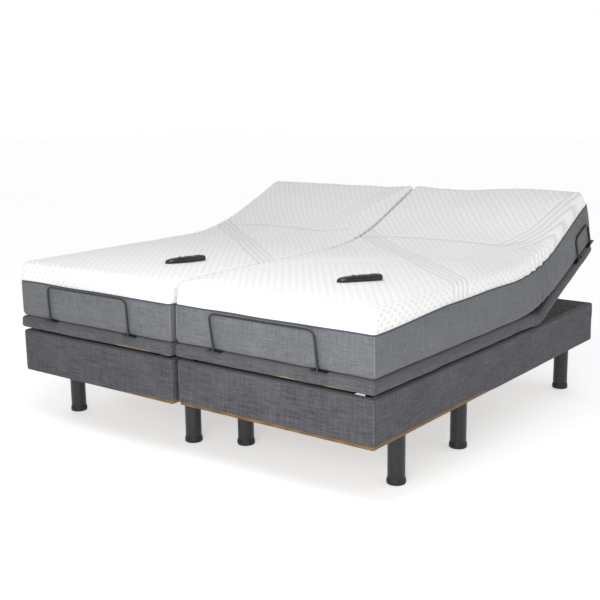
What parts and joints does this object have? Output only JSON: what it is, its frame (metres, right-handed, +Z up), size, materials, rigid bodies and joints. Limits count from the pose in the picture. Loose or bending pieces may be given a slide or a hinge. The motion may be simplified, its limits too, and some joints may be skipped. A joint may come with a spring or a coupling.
{
  "type": "adjustable bed base",
  "caption": "Split adjustable bed base: upholstered boxes on round legs, hinged padded decks that lift at head and legs, foam mattresses, retainer bars and handsets.",
  "frame": {"origin": "floor under the middle of the pair of units", "axes": "+Z up, +Y towards the head end, +X across the bed to the right unit"},
  "size_m": [1.962, 2.0663, 0.9901],
  "materials": {
    "leg_plastic": "satin",
    "foot_rubber": "matte",
    "frame_steel": "satin",
    "bare_steel": "satin",
    "rod_chrome": "polished",
    "box_wood": "matte",
    "deck_wood": "matte",
    "box_linen": "matte",
    "deck_linen": "matte",
    "mattress_knit": "matte",
    "mattress_border": "matte",
    "drive_plastic": "matte",
    "bar_paint": "satin",
    "handset_plastic": "gloss",
    "key_plastic": "satin"
  },
  "bodies": {
    "base": {"legs": "leg_plastic", "leg_feet": "foot_rubber", "cross_members": "frame_steel", "rail_posts": "frame_steel", "side_rails": "frame_steel", "drive_tubes": "frame_steel", "hinge_pins": "bare_steel", "box_boards": "box_wood", "box_covers": "box_linen", "unit_straps": "bare_steel", "seat_boards": "deck_wood", "seat_pads": "deck_linen", "seat_mattresses": "mattress_knit", "control_boxes": "drive_plastic"},
    "head_left": {"head_board_left": "deck_wood", "head_pad_left": "deck_linen", "head_mattress_left": "mattress_knit", "head_frame_left": "frame_steel", "head_retainer_left": "bar_paint"},
    "thigh_left": {"thigh_board_left": "deck_wood", "thigh_pad_left": "deck_linen", "thigh_mattress_left": "mattress_knit", "thigh_frame_left": "frame_steel"},
    "foot_left": {"foot_board_left": "deck_wood", "foot_pad_left": "deck_linen", "foot_mattress_left": "mattress_knit", "foot_frame_left": "frame_steel", "foot_retainer_left": "bar_paint", "handset_left": "handset_plastic"},
    "foot_link_left": {"foot_link_left": "frame_steel"},
    "head_motor_left": {"head_motor_left": "drive_plastic"},
    "head_rod_left": {"head_rod_left": "rod_chrome"},
    "foot_motor_left": {"foot_motor_left": "drive_plastic"},
    "foot_rod_left": {"foot_rod_left": "rod_chrome"},
    "head_key_left": {"head_key_left": "key_plastic"},
    "foot_key_left": {"foot_key_left": "key_plastic"},
    "flat_key_left": {"flat_key_left": "key_plastic"},
    "head_right": {"head_board_right": "deck_wood", "head_pad_right": "deck_linen", "head_mattress_right": "mattress_knit", "head_frame_right": "frame_steel", "head_retainer_right": "bar_paint"},
    "thigh_right": {"thigh_board_right": "deck_wood", "thigh_pad_right": "deck_linen", "thigh_mattress_right": "mattress_knit", "thigh_frame_right": "frame_steel"},
    "foot_right": {"foot_board_right": "deck_wood", "foot_pad_right": "deck_linen", "foot_mattress_right": "mattress_knit", "foot_frame_right": "frame_steel", "foot_retainer_right": "bar_paint", "handset_right": "handset_plastic"},
    "foot_link_right": {"foot_link_right": "frame_steel"},
    "head_motor_right": {"head_motor_right": "drive_plastic"},
    "head_rod_right": {"head_rod_right": "rod_chrome"},
    "foot_motor_right": {"foot_motor_right": "drive_plastic"},
    "foot_rod_right": {"foot_rod_right": "rod_chrome"},
    "head_key_right": {"head_key_right": "key_plastic"},
    "foot_key_right": {"foot_key_right": "key_plastic"},
    "flat_key_right": {"flat_key_right": "key_plastic"}
  },
  "joints": [
    {"name": "head_lift_left", "type": "hinge", "parent": "base", "child": "head_left", "pos_m": [-0.4875, 0.37811, 0.428], "axis": [1, 0, 0], "range_deg": [-24, 36]},
    {"name": "leg_lift_left", "type": "hinge", "parent": "base", "child": "thigh_left", "pos_m": [-0.4875, -0.05889, 0.428], "axis": [-1, 0, 0], "range_deg": [0, 35]},
    {"name": "knee_left", "type": "hinge", "parent": "thigh_left", "child": "foot_left", "pos_m": [-0.4875, -0.43889, 0.428], "axis": [1, 0, 0], "range_deg": [0, 43.75]},
    {"name": "link_turn_left", "type": "hinge", "parent": "base", "child": "foot_link_left", "pos_m": [-0.4875, -0.45789, 0.388], "axis": [-1, 0, 0], "range_deg": [0, 39]},
    {"name": "head_motor_tilt_left", "type": "hinge", "parent": "base", "child": "head_motor_left", "pos_m": [-0.5875, -0.24889, 0.345], "axis": [1, 0, 0], "range_deg": [-0.9, 0.6]},
    {"name": "head_rod_slide_left", "type": "slide", "parent": "head_motor_left", "child": "head_rod_left", "axis": [0, 0.9998, -0.0219], "range_m": [-0.0443, 0.0663]},
    {"name": "foot_motor_tilt_left", "type": "hinge", "parent": "base", "child": "foot_motor_left", "pos_m": [-0.3875, 0.48111, 0.345], "axis": [-1, 0, 0], "range_deg": [-1.05, 0]},
    {"name": "foot_rod_slide_left", "type": "slide", "parent": "foot_motor_left", "child": "foot_rod_left", "axis": [0, -0.9999, -0.0153], "range_m": [0, 0.0602]},
    {"name": "head_key_rock_left", "type": "hinge", "parent": "foot_left", "child": "head_key_left", "pos_m": [-0.24228, -0.59271, 0.776], "axis": [0.9544, -0.2984, 0], "range_deg": [-2.5, 2.5], "stiffness_Nm_per_rad": 0.05},
    {"name": "foot_key_rock_left", "type": "hinge", "parent": "foot_left", "child": "foot_key_left", "pos_m": [-0.25759, -0.63394, 0.776], "axis": [0.918, -0.3966, 0], "range_deg": [-2.5, 2.5], "stiffness_Nm_per_rad": 0.05},
    {"name": "flat_key_press_left", "type": "slide", "parent": "foot_left", "child": "flat_key_left", "axis": [0, 0, -1], "range_m": [0, 0.001], "stiffness_N_per_m": 150},
    {"name": "head_lift_right", "type": "hinge", "parent": "base", "child": "head_right", "pos_m": [0.4875, 0.39411, 0.428], "axis": [1, 0, 0], "range_deg": [-24, 36]},
    {"name": "leg_lift_right", "type": "hinge", "parent": "base", "child": "thigh_right", "pos_m": [0.4875, -0.04289, 0.428], "axis": [-1, 0, 0], "range_deg": [0, 35]},
    {"name": "knee_right", "type": "hinge", "parent": "thigh_right", "child": "foot_right", "pos_m": [0.4875, -0.42289, 0.428], "axis": [1, 0, 0], "range_deg": [0, 43.75]},
    {"name": "link_turn_right", "type": "hinge", "parent": "base", "child": "foot_link_right", "pos_m": [0.4875, -0.44189, 0.388], "axis": [-1, 0, 0], "range_deg": [0, 39]},
    {"name": "head_motor_tilt_right", "type": "hinge", "parent": "base", "child": "head_motor_right", "pos_m": [0.5875, -0.23289, 0.345], "axis": [1, 0, 0], "range_deg": [-0.9, 0.6]},
    {"name": "head_rod_slide_right", "type": "slide", "parent": "head_motor_right", "child": "head_rod_right", "axis": [0, 0.9998, -0.0219], "range_m": [-0.0443, 0.0663]},
    {"name": "foot_motor_tilt_right", "type": "hinge", "parent": "base", "child": "foot_motor_right", "pos_m": [0.3875, 0.49711, 0.345], "axis": [-1, 0, 0], "range_deg": [-1.05, 0]},
    {"name": "foot_rod_slide_right", "type": "slide", "parent": "foot_motor_right", "child": "foot_rod_right", "axis": [0, -0.9999, -0.0153], "range_m": [0, 0.0602]},
    {"name": "head_key_rock_right", "type": "hinge", "parent": "foot_right", "child": "head_key_right", "pos_m": [0.67612, -0.56106, 0.776], "axis": [0.8716, -0.4903, 0], "range_deg": [-2.5, 2.5], "stiffness_Nm_per_rad": 0.05},
    {"name": "foot_key_rock_right", "type": "hinge", "parent": "foot_right", "child": "foot_key_right", "pos_m": [0.65258, -0.59821, 0.776], "axis": [0.8155, -0.5788, 0], "range_deg": [-2.5, 2.5], "stiffness_Nm_per_rad": 0.05},
    {"name": "flat_key_press_right", "type": "slide", "parent": "foot_right", "child": "flat_key_right", "axis": [0, 0, -1], "range_m": [0, 0.001], "stiffness_N_per_m": 150}
  ],
  "couplings": [
    {"joint": "knee_left", "follows": "leg_lift_left", "ratio": 1.25},
    {"joint": "link_turn_left", "follows": "leg_lift_left", "ratio": 1.114},
    {"joint": "foot_motor_tilt_left", "follows": "leg_lift_left", "ratio": -0.03},
    {"joint": "foot_rod_slide_left", "follows": "leg_lift_left", "m_per_rad": 0.098491},
    {"joint": "head_motor_tilt_left", "follows": "head_lift_left", "ratio": -0.025},
    {"joint": "head_rod_slide_left", "follows": "head_lift_left", "m_per_rad": 0.10542},
    {"joint": "knee_right", "follows": "leg_lift_right", "ratio": 1.25},
    {"joint": "link_turn_right", "follows": "leg_lift_right", "ratio": 1.114},
    {"joint": "foot_motor_tilt_right", "follows": "leg_lift_right", "ratio": -0.03},
    {"joint": "foot_rod_slide_right", "follows": "leg_lift_right", "m_per_rad": 0.098491},
    {"joint": "head_motor_tilt_right", "follows": "head_lift_right", "ratio": -0.025},
    {"joint": "head_rod_slide_right", "follows": "head_lift_right", "m_per_rad": 0.10542}
  ]
}
